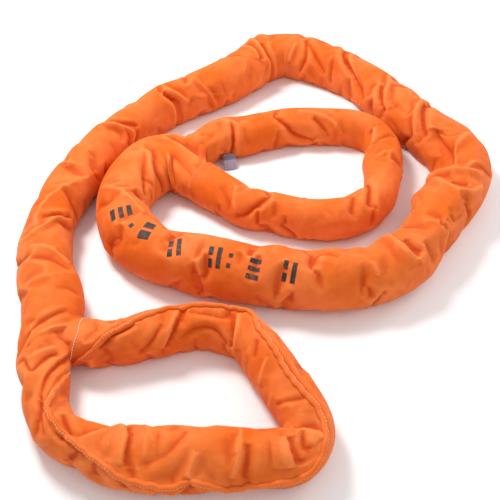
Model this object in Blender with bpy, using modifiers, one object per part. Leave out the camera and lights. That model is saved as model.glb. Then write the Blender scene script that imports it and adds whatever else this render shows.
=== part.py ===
"""Eye-and-eye round sling, laid out on a floor as a loose flat spiral with an eye at each end.

Two strands of core yarn, each in its own sleeve, run side by side inside one wide middle
sleeve. Past each end of the middle sleeve they part and meet again as a loop, the eye.
Units are metres and +Z is up. The sling rests on z = 0, and the origin is the centre of its
bounding box, at the floor. It is split across the places where the laid sling folds.
"""

import math

import bmesh
import bpy
from mathutils import Matrix, Vector

# Driving dimensions
MIDDLE_WIDTH = 0.164
MIDDLE_HEIGHT = 0.150
EYE_WIDTH = 0.124
EYE_HEIGHT = 0.116
LEG_WIDTH = 0.066
LEG_HEIGHT = 0.092
LEG_OFFSET = 0.036
LEG_CORE_WIDTH = 0.055
LEG_CORE_HEIGHT = 0.078
EYE_CORE_SHARE = 0.77
SLEEVE_WALL = 0.003
LEG_WALL = 0.002
GAP = 0.0010

# An oval with its lowest part pressed flat: the flat lies at this share of the half height
FLAT = 0.83
CROWN = math.cos(math.radians(11.25))
REST_SHARE = FLAT / (FLAT + CROWN)

MIDDLE_CENTRE = MIDDLE_HEIGHT * REST_SHARE
EYE_CENTRE = EYE_HEIGHT * REST_SHARE
LEG_CENTRE = 0.062
END_SIZE = 0.53

# How finely the tubes are made
PATH_STEP = 0.004
RING_STEP = 0.090
EYE_RING_STEP = 0.072
TANGENT_REACH = 0.003
SLEEVE_SIDES = 16
INNER_SIDES = 8
WELD_DISTANCE = 0.00005
SHARP_ANGLE = math.radians(40)

# The seam that stands along the outside of the outer eye, and its thread
SEAM_RADIUS = 0.0045
SEAM_ANGLE = math.radians(38)
THREAD_RADIUS = 0.0012
SEAM_START = 0.200

# The row of stitches that holds each end of the middle sleeve, over its upper side
STITCH_RADIUS = 0.0014
STITCH_SHARE = 0.7
STITCH_REACH = math.radians(180)
STITCH_POINTS = 13
STITCH_CLEARANCE = 0.0050

# The label, sewn to the inner eye by its upper edge
LABEL_WIDTH = 0.042
LABEL_LENGTH = 0.052
LABEL_THICKNESS = 0.001
LABEL_EDGE = Vector((-0.103, 0.278, 0.040))
LABEL_TILT = math.radians(47)
LABEL_YAW = math.radians(12)
LABEL_THREAD_RADIUS = 0.0007
LABEL_ROW = 0.004
LABEL_ROW_SHARE = 0.8
LABEL_ROW_HEIGHT = 0.0016

# Moves the route so that the bounding box is centred on the origin
CENTRE = Vector((0.001, 0.010, 0.0))

# Centre line of the middle sleeve, from the outer eye's neck round to the inner eye's crotch
MIDDLE_ROUTE = [
    (-0.528, -0.480),
    (-0.566, -0.385),
    (-0.592, -0.285),
    (-0.611, -0.165),
    (-0.612, -0.045),
    (-0.590, 0.070),
    (-0.552, 0.185),
    (-0.497, 0.290),
    (-0.425, 0.390),
    (-0.342, 0.485),
    (-0.250, 0.566),
    (-0.152, 0.640),
    (-0.060, 0.725),
    (0.010, 0.795),
    (0.090, 0.832),
    (0.175, 0.805),
    (0.262, 0.745),
    (0.350, 0.660),
    (0.430, 0.550),
    (0.500, 0.430),
    (0.560, 0.315),
    (0.602, 0.212),
    (0.612, 0.103),
    (0.590, 0.000),
    (0.535, -0.098),
    (0.466, -0.180),
    (0.400, -0.242),
    (0.338, -0.284),
    (0.270, -0.307),
    (0.200, -0.317),
    (0.125, -0.316),
    (0.052, -0.308),
    (-0.024, -0.294),
    (-0.110, -0.273),
    (-0.195, -0.247),
    (-0.280, -0.208),
    (-0.348, -0.150),
    (-0.392, -0.068),
    (-0.405, 0.030),
    (-0.382, 0.122),
    (-0.338, 0.192),
    (-0.274, 0.213),
    (-0.236, 0.210),
]

# Eye loops: x, y and size, from the mouth of the middle sleeve's end round to it again
OUTER_EYE_ROUTE = [
    (-0.487, -0.464, 0.66),
    (-0.462, -0.505, 0.85),
    (-0.415, -0.528, 0.98),
    (-0.350, -0.520, 1.0),
    (-0.293, -0.500, 1.0),
    (-0.214, -0.483, 1.0),
    (-0.140, -0.478, 1.0),
    (-0.075, -0.495, 1.0),
    (-0.025, -0.530, 1.0),
    (0.017, -0.585, 1.02),
    (0.057, -0.652, 1.04),
    (0.090, -0.720, 1.06),
    (0.099, -0.785, 1.08),
    (0.062, -0.837, 1.1),
    (-0.010, -0.850, 1.15),
    (-0.100, -0.850, 1.2),
    (-0.190, -0.850, 1.2),
    (-0.285, -0.846, 1.18),
    (-0.380, -0.828, 1.12),
    (-0.467, -0.785, 1.05),
    (-0.520, -0.715, 1.0),
    (-0.543, -0.645, 1.0),
    (-0.556, -0.575, 0.86),
    (-0.569, -0.496, 0.66),
]
INNER_EYE_ROUTE = [
    (-0.232, 0.262, 0.68),
    (-0.206, 0.278, 0.76),
    (-0.180, 0.300, 0.86),
    (-0.144, 0.330, 0.95),
    (-0.100, 0.345, 1.0),
    (-0.050, 0.352, 1.0),
    (0.014, 0.377, 1.0),
    (0.102, 0.402, 1.0),
    (0.200, 0.405, 1.0),
    (0.300, 0.392, 1.0),
    (0.368, 0.345, 1.0),
    (0.396, 0.250, 1.0),
    (0.383, 0.135, 1.0),
    (0.350, 0.040, 1.0),
    (0.290, -0.020, 1.0),
    (0.219, -0.050, 1.0),
    (0.133, -0.050, 1.0),
    (0.050, -0.025, 1.0),
    (-0.036, 0.003, 1.0),
    (-0.100, 0.050, 1.0),
    (-0.148, 0.088, 0.95),
    (-0.186, 0.118, 0.86),
    (-0.212, 0.140, 0.76),
    (-0.238, 0.158, 0.68),
]

# Each end of the middle sleeve: its length past the fold, and its mouth where the legs part
NECKS = {
    "outer": {"length": 0.100, "width": 0.190, "height": 0.140, "offset": 0.044, "size": 0.66},
    "inner": {"length": 0.076, "width": 0.250, "height": 0.130, "offset": 0.052, "size": 0.68},
}
NECK_STEP = 0.028
BEYOND_MOUTH = 0.060
NECK_OVERRUN = 0.030
NECK_REACH = 0.150

# The coil fold crosses the sleeve at a slant, so its pieces run further past it before the cut
COIL_FOLD_X = 0.470
COIL_OVERRUN = 0.130
COIL_REACH = 0.260

FOLD_HEIGHT = MIDDLE_HEIGHT + 0.001

# The eyes' sleeves are made in stretches, cut at these distances along each loop
EYE_STRETCHES = {
    "outer": {"names": ("right", "left"), "cuts": (0.98,)},
    "inner": {"names": ("back", "bend", "front"), "cuts": (0.60, 1.22)},
}
STRETCH_OVERRUN = 0.090
STRETCH_REACH = 0.170


def clear_scene():
    for thing in list(bpy.data.objects):
        bpy.data.objects.remove(thing, do_unlink=True)


def new_collection(name):
    group = bpy.data.collections.new(name)
    bpy.context.scene.collection.children.link(group)
    return group


def make_material(name, colour, roughness):
    material = bpy.data.materials.new(name)
    material.use_nodes = True
    shader = material.node_tree.nodes["Principled BSDF"]
    shader.inputs["Base Color"].default_value = (*colour, 1.0)
    shader.inputs["Roughness"].default_value = roughness
    shader.inputs["Metallic"].default_value = 0.0
    material.diffuse_color = (*colour, 1.0)
    return material


def smooth_path(points):
    """Points every few millimetres along a Catmull-Rom curve through the route's own points."""
    route = [Vector(point) for point in points]
    route.insert(0, 2 * route[0] - route[1])
    route.append(2 * route[-1] - route[-2])
    path = []
    for a, b, c, d in zip(route, route[1:], route[2:], route[3:]):
        count = max(2, round((c - b).length / PATH_STEP))
        for k in range(count):
            t = k / count
            path.append(0.5 * (2 * b + (c - a) * t + (2 * a - 5 * b + 4 * c - d) * t**2
                               + (3 * b - a - 3 * c + d) * t**3))
    path.append(route[-2])
    return path


def lengths_along(path):
    totals = [0.0]
    for a, b in zip(path, path[1:]):
        totals.append(totals[-1] + (b.xyz - a.xyz).length)
    return totals


def point_at(path, totals, distance):
    distance = min(max(distance, 0.0), totals[-1])
    for k in range(1, len(path)):
        if totals[k] >= distance:
            share = (distance - totals[k - 1]) / (totals[k] - totals[k - 1])
            return path[k - 1].lerp(path[k], share)
    return path[-1]


def left_at(path, totals, distance):
    """The level direction to the path's left, where it has run this distance."""
    ahead = (point_at(path, totals, distance + TANGENT_REACH)
             - point_at(path, totals, distance - TANGENT_REACH))
    return Vector((-ahead.y, ahead.x, 0.0)).normalized()


def stretch(path, start, end, step, offset=0.0):
    """Evenly spaced points of the path from start to end, moved to its left by offset."""
    totals = lengths_along(path)
    count = max(2, math.ceil((end - start) / step))
    points = []
    for k in range(count + 1):
        distance = start + (end - start) * k / count
        point = point_at(path, totals, distance)
        side = left_at(path, totals, distance)
        points.append(Vector((*(point.xyz + side * offset), point.w)))
    return points


def outline(name, width, height, sides):
    """A flat-bottomed oval as a closed curve, for sweeping along a path."""
    half_height = height / (FLAT + CROWN)
    curve = bpy.data.curves.new(name, "CURVE")
    curve.dimensions = "2D"
    spline = curve.splines.new("POLY")
    spline.points.add(sides - 1)
    for k, point in enumerate(spline.points):
        angle = -math.tau * (k + 0.5) / sides
        rise = max(math.sin(angle), -FLAT)
        point.co = (width / 2 * math.cos(angle), half_height * rise, 0.0, 1.0)
    spline.use_cyclic_u = True
    shape = bpy.data.objects.new(name, curve)
    GUIDES.objects.link(shape)
    shape.hide_render = True
    shape.display_type = "WIRE"
    return shape


def cut_at_fold(form, fold, filled):
    """Removes what runs past a fold's plane, near the fold, and closes the cut on a solid."""
    place, beyond, reach = fold
    corner = place + CENTRE - beyond * GAP
    faces = [face for face in form.faces
             if (face.calc_center_median() - corner).xy.length < reach]
    edges = {edge for face in faces for edge in face.edges}
    verts = {vert for face in faces for vert in face.verts}
    cut = bmesh.ops.bisect_plane(form, geom=[*verts, *edges, *faces], plane_co=corner,
                                 plane_no=beyond, clear_outer=True)
    if filled:
        rim = [part for part in cut["geom_cut"] if isinstance(part, bmesh.types.BMEdge)]
        bmesh.ops.triangle_fill(form, edges=rim, normal=beyond, use_beauty=True)


def swept(name, path, shape, filled, folds):
    """Sweeps an outline along a path of (x, y, z, size) and cuts it off at its folds."""
    curve = bpy.data.curves.new(name + "_path", "CURVE")
    curve.dimensions = "3D"
    curve.twist_mode = "Z_UP"
    curve.bevel_mode = "OBJECT"
    curve.bevel_object = shape
    curve.use_fill_caps = filled
    spline = curve.splines.new("POLY")
    spline.points.add(len(path) - 1)
    for point, place in zip(spline.points, path):
        point.co = (*(place.xyz + CENTRE), 1.0)
        point.radius = place.w
    return curve_to_mesh(name, curve, filled, folds)


def curve_to_mesh(name, curve, filled, folds):
    source = bpy.data.objects.new(name + "_path", curve)
    SLING.objects.link(source)
    bpy.context.view_layer.update()
    depsgraph = bpy.context.evaluated_depsgraph_get()
    mesh = bpy.data.meshes.new_from_object(source.evaluated_get(depsgraph))
    bpy.data.objects.remove(source, do_unlink=True)
    form = bmesh.new()
    form.from_mesh(mesh)
    bmesh.ops.remove_doubles(form, verts=form.verts, dist=WELD_DISTANCE)
    for fold in folds:
        cut_at_fold(form, fold, filled)
    if filled:
        bmesh.ops.recalc_face_normals(form, faces=form.faces)
    form.to_mesh(mesh)
    form.free()
    mesh.name = name
    mesh.shade_smooth()
    mesh.set_sharp_from_angle(angle=SHARP_ANGLE)
    piece = bpy.data.objects.new(name, mesh)
    SLING.objects.link(piece)
    return piece


def place_on_axis(piece, empty):
    """Parents a piece to the empty on its joint's axis and leaves the piece where it is."""
    if empty:
        piece.parent = empty
        piece.matrix_parent_inverse = empty.matrix_world.inverted()


def add_wall(piece, thickness):
    """Gives a skin its thickness on the inside."""
    wall = piece.modifiers.new("wall", "SOLIDIFY")
    wall.thickness = thickness
    wall.offset = -1.0


def sleeve(name, path, shape, thickness, material, empty, folds):
    """An open-ended sleeve of woven fabric along a path."""
    piece = swept(name, path, shape, False, folds)
    add_wall(piece, thickness)
    piece.data.materials.append(material)
    place_on_axis(piece, empty)


def core(name, path, shape, material, empty, folds):
    """A strand of core yarn along a path."""
    piece = swept(name, path, shape, True, folds)
    piece.data.materials.append(material)
    place_on_axis(piece, empty)


def thread_tube(name, points, radius, material, empty):
    """A round tube through points, for the raised seam and its thread."""
    curve = bpy.data.curves.new(name + "_path", "CURVE")
    curve.dimensions = "3D"
    curve.bevel_depth = radius
    curve.bevel_resolution = 1
    curve.use_fill_caps = True
    spline = curve.splines.new("POLY")
    spline.points.add(len(points) - 1)
    for point, place in zip(spline.points, points):
        point.co = (*(place + CENTRE), 1.0)
    piece = curve_to_mesh(name, curve, True, [])
    piece.data.materials.append(material)
    place_on_axis(piece, empty)
    return piece


def joint_empty(name, place, parent):
    empty = bpy.data.objects.new(name, None)
    empty.location = Vector(place) + CENTRE
    SLING.objects.link(empty)
    if parent:
        bpy.context.view_layer.update()
        empty.parent = parent
        empty.matrix_parent_inverse = parent.matrix_world.inverted()
    bpy.context.view_layer.update()
    return empty


def with_height(route, centre):
    return [Vector((x, y, centre, 1.0)) for x, y in route]


def build_bands(middle, coil, folds, shapes, materials, coil_empty):
    """The middle sleeve and its two legs, before the coil fold and after it."""
    length = lengths_along(middle)[-1]
    outer_start = NECKS["outer"]["length"] - NECK_OVERRUN
    inner_end = length - NECKS["inner"]["length"] + NECK_OVERRUN
    bands = {
        "outer": (outer_start, coil + COIL_OVERRUN, None, (folds["outer"], folds["coil"])),
        "inner": (coil - COIL_OVERRUN, inner_end, coil_empty,
                  (turned(folds["coil"]), folds["inner"])),
    }
    for band, (start, end, empty, cuts) in bands.items():
        route = stretch(middle, start, end, RING_STEP)
        sleeve("middle_sleeve_" + band, route, shapes["middle"], SLEEVE_WALL,
               materials["sleeve"], empty, cuts)
        for side, offset in (("left", LEG_OFFSET), ("right", -LEG_OFFSET)):
            leg = [Vector((point.x, point.y, LEG_CENTRE, 1.0))
                   for point in stretch(middle, start, end, RING_STEP, offset)]
            sleeve("leg_sleeve_%s_%s" % (band, side), leg, shapes["leg"], LEG_WALL,
                   materials["leg"], empty, cuts)
            core("core_yarn_%s_%s" % (band, side), leg, shapes["leg_core"],
                 materials["yarn"], empty, cuts)


def turned(fold):
    """The same fold as seen from its other side."""
    place, beyond, reach = fold
    return place, -beyond, reach


def neck_rings(toward_mouth, neck, overrun):
    """Places along the neck, from its fold or just before it to the mouth, with their shares."""
    totals = lengths_along(toward_mouth)
    fold = totals[-1] - neck["length"]
    start = fold - overrun
    count = round((totals[-1] - start) / NECK_STEP)
    rings = []
    for k in range(count + 1):
        distance = start + (totals[-1] - start) * k / count
        share = max(0.0, (distance - fold) / neck["length"])
        side = left_at(toward_mouth, totals, distance)
        rings.append((point_at(toward_mouth, totals, distance).xyz, side, share))
    return rings


def neck_sleeve(name, rings, neck, material, empty):
    """The middle sleeve's end, a shell lofted from the full sleeve's oval to its wider mouth."""
    form = bmesh.new()
    loops = []
    for place, side, share in rings:
        width = MIDDLE_WIDTH + (neck["width"] - MIDDLE_WIDTH) * share
        height = MIDDLE_HEIGHT + (neck["height"] - MIDDLE_HEIGHT) * share
        half_height = height / (FLAT + CROWN)
        loop = []
        for j in range(SLEEVE_SIDES):
            angle = math.tau * (j + 0.5) / SLEEVE_SIDES
            rise = half_height * (max(math.sin(angle), -FLAT) + FLAT)
            spot = Vector((*place.xy, rise)) + side * width / 2 * math.cos(angle)
            loop.append(form.verts.new(spot + CENTRE))
        loops.append(loop)
    for near, far in zip(loops, loops[1:]):
        for j in range(SLEEVE_SIDES):
            k = (j + 1) % SLEEVE_SIDES
            form.faces.new((near[j], near[k], far[k], far[j]))
    mesh = bpy.data.meshes.new(name)
    form.to_mesh(mesh)
    form.free()
    mesh.shade_smooth()
    piece = bpy.data.objects.new(name, mesh)
    SLING.objects.link(piece)
    add_wall(piece, SLEEVE_WALL)
    mesh.materials.append(material)
    place_on_axis(piece, empty)


def neck_thread(name, toward_mouth, neck, material, empty):
    """The row of stitches over the upper side of the middle sleeve's end, near its mouth."""
    totals = lengths_along(toward_mouth)
    distance = totals[-1] - neck["length"] * (1.0 - STITCH_SHARE)
    place = point_at(toward_mouth, totals, distance)
    side = left_at(toward_mouth, totals, distance)
    proud = STITCH_RADIUS + STITCH_CLEARANCE
    half_width = (MIDDLE_WIDTH + (neck["width"] - MIDDLE_WIDTH) * STITCH_SHARE) / 2 + proud
    height = MIDDLE_HEIGHT + (neck["height"] - MIDDLE_HEIGHT) * STITCH_SHARE
    half_height = height / (FLAT + CROWN)
    row = []
    for k in range(STITCH_POINTS):
        angle = math.pi / 2 + STITCH_REACH * (k / (STITCH_POINTS - 1) - 0.5)
        rise = half_height * (math.sin(angle) + FLAT) + proud * math.sin(angle)
        row.append(Vector((*place.xy, rise)) + side * half_width * math.cos(angle))
    thread_tube(name, row, STITCH_RADIUS, material, empty)


def leg_in_neck(rings, neck, hand):
    """One leg's points along the neck, up to just short of the mouth, spreading and growing."""
    points = []
    for place, side, share in rings[:-1]:
        offset = LEG_OFFSET + (neck["offset"] - LEG_OFFSET) * share
        size = END_SIZE + (neck["size"] - END_SIZE) * share
        points.append(Vector((*(place + side * offset * hand).xy, size)))
    return points


def leg_height(size):
    """The height of a leg's centre: lifted inside the neck, and on the floor at full size."""
    if size > 1.0:
        return EYE_CENTRE * size
    return EYE_CENTRE + (LEG_CENTRE - EYE_CENTRE) * (1.0 - size) / (1.0 - END_SIZE)


def cross_plane(points, distance, reach):
    """The plane square across a path at a distance, facing along it, and how far it cuts."""
    totals = lengths_along(points)
    left = left_at(points, totals, distance)
    return point_at(points, totals, distance).xyz, Vector((left.y, -left.x, 0.0)), reach


def loop_stretches(points, cuts, fold):
    """A loop's points in stretches that run a little past each cut, with the planes they end at."""
    totals = lengths_along(points)
    planes = [cross_plane(points, distance, STRETCH_REACH) for distance in cuts]
    starts = [turned(fold)] + [turned(plane) for plane in planes]
    ends = planes + [turned(fold)]
    edges = [0.0, *cuts, totals[-1]]
    for k, (start, end) in enumerate(zip(edges, edges[1:])):
        stretch_points = [point for point, distance in zip(points, totals)
                          if start - STRETCH_OVERRUN <= distance <= end + STRETCH_OVERRUN]
        yield stretch_points, [starts[k], ends[k]]


def build_eye(name, route, toward_mouth, fold, shapes, materials, empty):
    """An eye: the middle sleeve's end, the loop's sleeve and the core yarn inside it."""
    neck = NECKS[name]
    neck_sleeve("middle_sleeve_%s_end" % name, neck_rings(toward_mouth, neck, -GAP), neck,
                materials["sleeve"], empty)
    neck_thread("neck_thread_" + name, toward_mouth, neck, materials["thread"], empty)
    rings = neck_rings(toward_mouth, neck, NECK_OVERRUN)
    loop = [Vector(place) for place in route]
    legs = leg_in_neck(rings, neck, 1), leg_in_neck(rings, neck, -1)[::-1]
    path = [Vector((point.x, point.y, leg_height(point.z), point.z))
            for point in smooth_path(legs[0] + loop + legs[1])]
    length = lengths_along(path)[-1]
    near = neck["length"] + NECK_OVERRUN + BEYOND_MOUTH
    points = stretch(path, 0.0, near, NECK_STEP)
    points += stretch(path, near, length - near, EYE_RING_STEP)[1:]
    points += stretch(path, length - near, length, NECK_STEP)[1:]
    stretches = EYE_STRETCHES[name]
    for label, (part, cuts) in zip(stretches["names"],
                                   loop_stretches(points, stretches["cuts"], fold)):
        sleeve("eye_sleeve_%s_%s" % (name, label), part, shapes["eye"], SLEEVE_WALL,
               materials["sleeve"], empty, cuts)
    core("core_yarn_%s_eye" % name, points, shapes["eye_core"], materials["yarn"], empty,
         [turned(fold)])
    return points


def build_seam(points, materials, empty):
    """The folded seam that stands along the outside of the outer eye, and the thread on it."""
    totals = lengths_along(points)
    half_height = EYE_HEIGHT / (FLAT + CROWN)
    seam, thread = [], []
    for distance, place in zip(totals, points):
        if distance < SEAM_START or distance > totals[-1] - SEAM_START:
            continue
        side = left_at(points, totals, distance)
        spot = side * place.w * EYE_WIDTH / 2 * math.cos(SEAM_ANGLE)
        spot.z = place.w * half_height * math.sin(SEAM_ANGLE)
        normal = side * math.cos(SEAM_ANGLE) / EYE_WIDTH
        normal.z = math.sin(SEAM_ANGLE) / (2 * half_height)
        normal.normalize()
        seam.append(place.xyz + spot + normal * (SEAM_RADIUS + GAP))
        thread.append(seam[-1] + normal * (SEAM_RADIUS + THREAD_RADIUS + GAP))
    thread_tube("eye_seam", seam, SEAM_RADIUS, materials["sleeve"], empty)
    thread_tube("eye_seam_thread", thread, THREAD_RADIUS, materials["thread"], empty)


def build_label(materials, empty):
    """A small woven tag that hangs from its sewn upper edge down to the floor."""
    bpy.ops.mesh.primitive_cube_add(size=1.0)
    tag = bpy.context.object
    tag.name = "label"
    for group in list(tag.users_collection):
        group.objects.unlink(tag)
    SLING.objects.link(tag)
    tag.data.transform(Matrix.Diagonal((LABEL_WIDTH, LABEL_LENGTH, LABEL_THICKNESS, 1.0)))
    tag.data.transform(Matrix.Translation((0.0, -LABEL_LENGTH / 2, 0.0)))
    tag.rotation_euler = (LABEL_TILT, 0.0, LABEL_YAW)
    tag.location = LABEL_EDGE + CENTRE
    tag.data.materials.append(materials["label"])
    bpy.context.view_layer.update()
    place_on_axis(tag, empty)
    turn = tag.matrix_world.copy()
    half_row = LABEL_ROW_SHARE * LABEL_WIDTH / 2
    row = [turn @ Vector((x, -LABEL_ROW, LABEL_ROW_HEIGHT)) - CENTRE
           for x in (-half_row, half_row)]
    thread_tube("label_thread", row, LABEL_THREAD_RADIUS, materials["thread"], empty)


def find_coil_fold(middle):
    """The distance along the middle route where it crosses the coil fold on its way back."""
    totals = lengths_along(middle)
    crossings = [k for k in range(1, len(middle))
                 if middle[k].x < COIL_FOLD_X <= middle[k - 1].x]
    return totals[crossings[-1]]


def neck_fold(toward_mouth, neck):
    """Where an eye folds against the middle sleeve, and the direction towards its mouth."""
    distance = lengths_along(toward_mouth)[-1] - neck["length"]
    return cross_plane(toward_mouth, distance, NECK_REACH)


def build_sling():
    materials = {
        "sleeve": make_material("orange_sleeve", (0.83, 0.155, 0.021), 0.55),
        "leg": make_material("orange_leg_sleeve", (0.78, 0.13, 0.018), 0.6),
        "yarn": make_material("white_core_yarn", (0.80, 0.78, 0.72), 0.7),
        "thread": make_material("pale_thread", (0.85, 0.72, 0.62), 0.6),
        "label": make_material("grey_label", (0.42, 0.37, 0.44), 0.5),
    }
    shapes = {
        "middle": outline("middle_outline", MIDDLE_WIDTH, MIDDLE_HEIGHT, SLEEVE_SIDES),
        "leg": outline("leg_outline", LEG_WIDTH, LEG_HEIGHT, INNER_SIDES),
        "leg_core": outline("leg_core_outline", LEG_CORE_WIDTH, LEG_CORE_HEIGHT, INNER_SIDES),
        "eye": outline("eye_outline", EYE_WIDTH, EYE_HEIGHT, SLEEVE_SIDES),
        "eye_core": outline("eye_core_outline", EYE_WIDTH * EYE_CORE_SHARE,
                            EYE_HEIGHT * EYE_CORE_SHARE, INNER_SIDES),
    }
    middle = smooth_path(with_height(MIDDLE_ROUTE, MIDDLE_CENTRE))
    toward_mouth = {"outer": middle[::-1], "inner": middle}
    coil = find_coil_fold(middle)
    folds = {name: neck_fold(path, NECKS[name]) for name, path in toward_mouth.items()}
    fold = point_at(middle, lengths_along(middle), coil).xyz
    fold.x = COIL_FOLD_X
    folds["coil"] = fold, Vector((-1.0, 0.0, 0.0)), COIL_REACH
    axes = {name: Vector((*fold[0].xy, FOLD_HEIGHT)) for name, fold in folds.items()}
    empties = {"coil": joint_empty("coil_fold_axis", axes["coil"], None)}
    empties["outer"] = joint_empty("outer_eye_axis", axes["outer"], None)
    empties["inner"] = joint_empty("inner_eye_axis", axes["inner"], empties["coil"])
    empties["label"] = joint_empty("label_axis", LABEL_EDGE, empties["inner"])

    build_bands(middle, coil, folds, shapes, materials, empties["coil"])
    routes = {"outer": OUTER_EYE_ROUTE, "inner": INNER_EYE_ROUTE}
    loops = {name: build_eye(name, route, toward_mouth[name], folds[name], shapes, materials,
                             empties[name])
             for name, route in routes.items()}
    build_seam(loops["outer"], materials, empties["outer"])
    build_label(materials, empties["label"])


clear_scene()
SLING = new_collection("round_sling")
GUIDES = new_collection("guides")
build_sling()
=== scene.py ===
"""Looks of the eye-and-eye round sling: woven orange sleeves, folds, seams, stitches and label."""

import math

import bmesh
import bpy
import numpy as np
from mathutils import Matrix, Vector


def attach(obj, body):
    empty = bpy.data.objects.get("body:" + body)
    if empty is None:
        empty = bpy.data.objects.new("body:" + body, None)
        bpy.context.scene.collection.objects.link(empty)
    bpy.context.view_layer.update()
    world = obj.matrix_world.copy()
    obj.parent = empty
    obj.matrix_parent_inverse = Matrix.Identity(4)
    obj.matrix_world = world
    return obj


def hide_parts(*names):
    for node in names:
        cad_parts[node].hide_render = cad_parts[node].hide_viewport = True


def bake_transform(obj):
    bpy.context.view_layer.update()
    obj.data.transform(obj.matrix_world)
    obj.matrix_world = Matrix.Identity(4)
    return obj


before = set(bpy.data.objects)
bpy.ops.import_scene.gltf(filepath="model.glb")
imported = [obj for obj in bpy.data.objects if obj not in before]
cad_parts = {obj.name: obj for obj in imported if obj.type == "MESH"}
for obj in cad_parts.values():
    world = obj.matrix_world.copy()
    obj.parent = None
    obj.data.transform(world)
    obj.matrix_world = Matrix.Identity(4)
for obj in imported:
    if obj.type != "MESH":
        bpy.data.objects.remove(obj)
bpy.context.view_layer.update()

# The CAD part's own driving dimensions, in metres
FLAT = 0.83
CROWN = math.cos(math.radians(11.25))
CENTRE = np.array((0.001, 0.010))

# Centre line of the middle sleeve, from the outer eye's neck round to the inner eye's crotch
MIDDLE_ROUTE = [
    (-0.528, -0.480), (-0.566, -0.385), (-0.592, -0.285), (-0.611, -0.165), (-0.612, -0.045),
    (-0.590, 0.070), (-0.552, 0.185), (-0.497, 0.290), (-0.425, 0.390), (-0.342, 0.485),
    (-0.250, 0.566), (-0.152, 0.640), (-0.060, 0.725), (0.010, 0.795), (0.090, 0.832),
    (0.175, 0.805), (0.262, 0.745), (0.350, 0.660), (0.430, 0.550), (0.500, 0.430), (0.560, 0.315),
    (0.602, 0.212), (0.612, 0.103), (0.590, 0.000), (0.535, -0.098), (0.466, -0.180),
    (0.400, -0.242), (0.338, -0.284), (0.270, -0.307), (0.200, -0.317), (0.125, -0.316),
    (0.052, -0.308), (-0.024, -0.294), (-0.110, -0.273), (-0.195, -0.247), (-0.280, -0.208),
    (-0.348, -0.150), (-0.392, -0.068), (-0.405, 0.030), (-0.382, 0.122), (-0.338, 0.192),
    (-0.274, 0.213), (-0.236, 0.210),
]

# Eye loops: x and y from the mouth of the middle sleeve's end round to it again
OUTER_EYE_ROUTE = [
    (-0.497, -0.512), (-0.460, -0.520), (-0.413, -0.526), (-0.350, -0.520), (-0.293, -0.500),
    (-0.214, -0.483), (-0.140, -0.478), (-0.075, -0.495), (-0.025, -0.530), (0.017, -0.585),
    (0.057, -0.652), (0.090, -0.720), (0.099, -0.785), (0.062, -0.837), (-0.010, -0.850),
    (-0.100, -0.850), (-0.190, -0.850), (-0.285, -0.846), (-0.380, -0.828), (-0.467, -0.785),
    (-0.520, -0.715), (-0.543, -0.645), (-0.556, -0.575), (-0.569, -0.496),
]
INNER_EYE_ROUTE = [
    (-0.232, 0.262), (-0.206, 0.278), (-0.180, 0.300), (-0.144, 0.330), (-0.100, 0.345),
    (-0.050, 0.352), (0.014, 0.377), (0.102, 0.402), (0.200, 0.405), (0.300, 0.392), (0.368, 0.345),
    (0.396, 0.250), (0.383, 0.135), (0.350, 0.040), (0.290, -0.020), (0.219, -0.050),
    (0.133, -0.050), (0.050, -0.025), (-0.036, 0.003), (-0.100, 0.050), (-0.148, 0.088),
    (-0.186, 0.118), (-0.212, 0.140), (-0.238, 0.158),
]
# Where the strands run on, out of sight, into the middle sleeve's ends
OUTER_TUCK = [(-0.545, -0.500)]
MOUTH_LEAD = [(-0.170, 0.212)]
INNER_TUCK_LOWER = [(-0.286, 0.166)]
INNER_TUCK_UPPER = [(-0.272, 0.246)]

PATH_STEP = 0.004
TURN_SMOOTHING = 0.030
RING_STEP = 0.0045
LONG_SIDES = 112
EYE_SIDES = 88

# Girth along the long sleeve, from the inner mouth: distance, half width inside and outside, height
LONG_GIRTH = [
    (-0.066, 0.182, 0.168, 0.118), (-0.03, 0.160, 0.135, 0.122), (0.00, 0.142, 0.106, 0.128),
    (0.05, 0.132, 0.095, 0.134), (0.12, 0.112, 0.088, 0.140), (0.22, 0.088, 0.084, 0.146),
    (0.32, 0.068, 0.077, 0.148), (0.45, 0.066, 0.092, 0.150), (0.62, 0.068, 0.082, 0.150),
    (0.76, 0.076, 0.080, 0.150), (1.15, 0.084, 0.076, 0.150), (1.30, 0.084, 0.066, 0.150),
    (1.42, 0.092, 0.044, 0.150), (1.54, 0.124, 0.045, 0.146), (1.63, 0.104, 0.066, 0.148),
    (1.71, 0.062, 0.092, 0.148), (1.78, 0.050, 0.112, 0.148), (1.88, 0.050, 0.124, 0.146),
    (2.00, 0.068, 0.080, 0.148), (2.15, 0.074, 0.073, 0.148), (2.32, 0.046, 0.080, 0.146),
    (2.60, 0.068, 0.082, 0.146), (2.72, 0.074, 0.088, 0.144), (2.80, 0.078, 0.090, 0.146),
    (2.92, 0.080, 0.062, 0.146), (3.15, 0.062, 0.058, 0.146), (3.42, 0.074, 0.048, 0.146),
    (3.60, 0.080, 0.050, 0.146), (3.85, 0.064, 0.066, 0.146), (3.97, 0.068, 0.076, 0.146),
    (4.08, 0.078, 0.078, 0.146), (4.18, 0.088, 0.072, 0.142), (4.30, 0.082, 0.056, 0.130),
    (4.42, 0.070, 0.048, 0.122), (4.52, 0.052, 0.048, 0.118), (4.64, 0.052, 0.054, 0.118),
    (4.74, 0.068, 0.074, 0.118), (4.85, 0.074, 0.080, 0.118), (5.02, 0.068, 0.060, 0.118),
    (5.12, 0.058, 0.064, 0.118), (5.28, 0.062, 0.055, 0.118), (5.42, 0.062, 0.056, 0.116),
    (5.55, 0.046, 0.066, 0.114), (5.64, 0.038, 0.070, 0.116), (5.76, 0.052, 0.070, 0.116),
    (5.86, 0.042, 0.070, 0.116), (5.94, 0.056, 0.066, 0.112), (6.03, 0.052, 0.056, 0.100),
]
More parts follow.
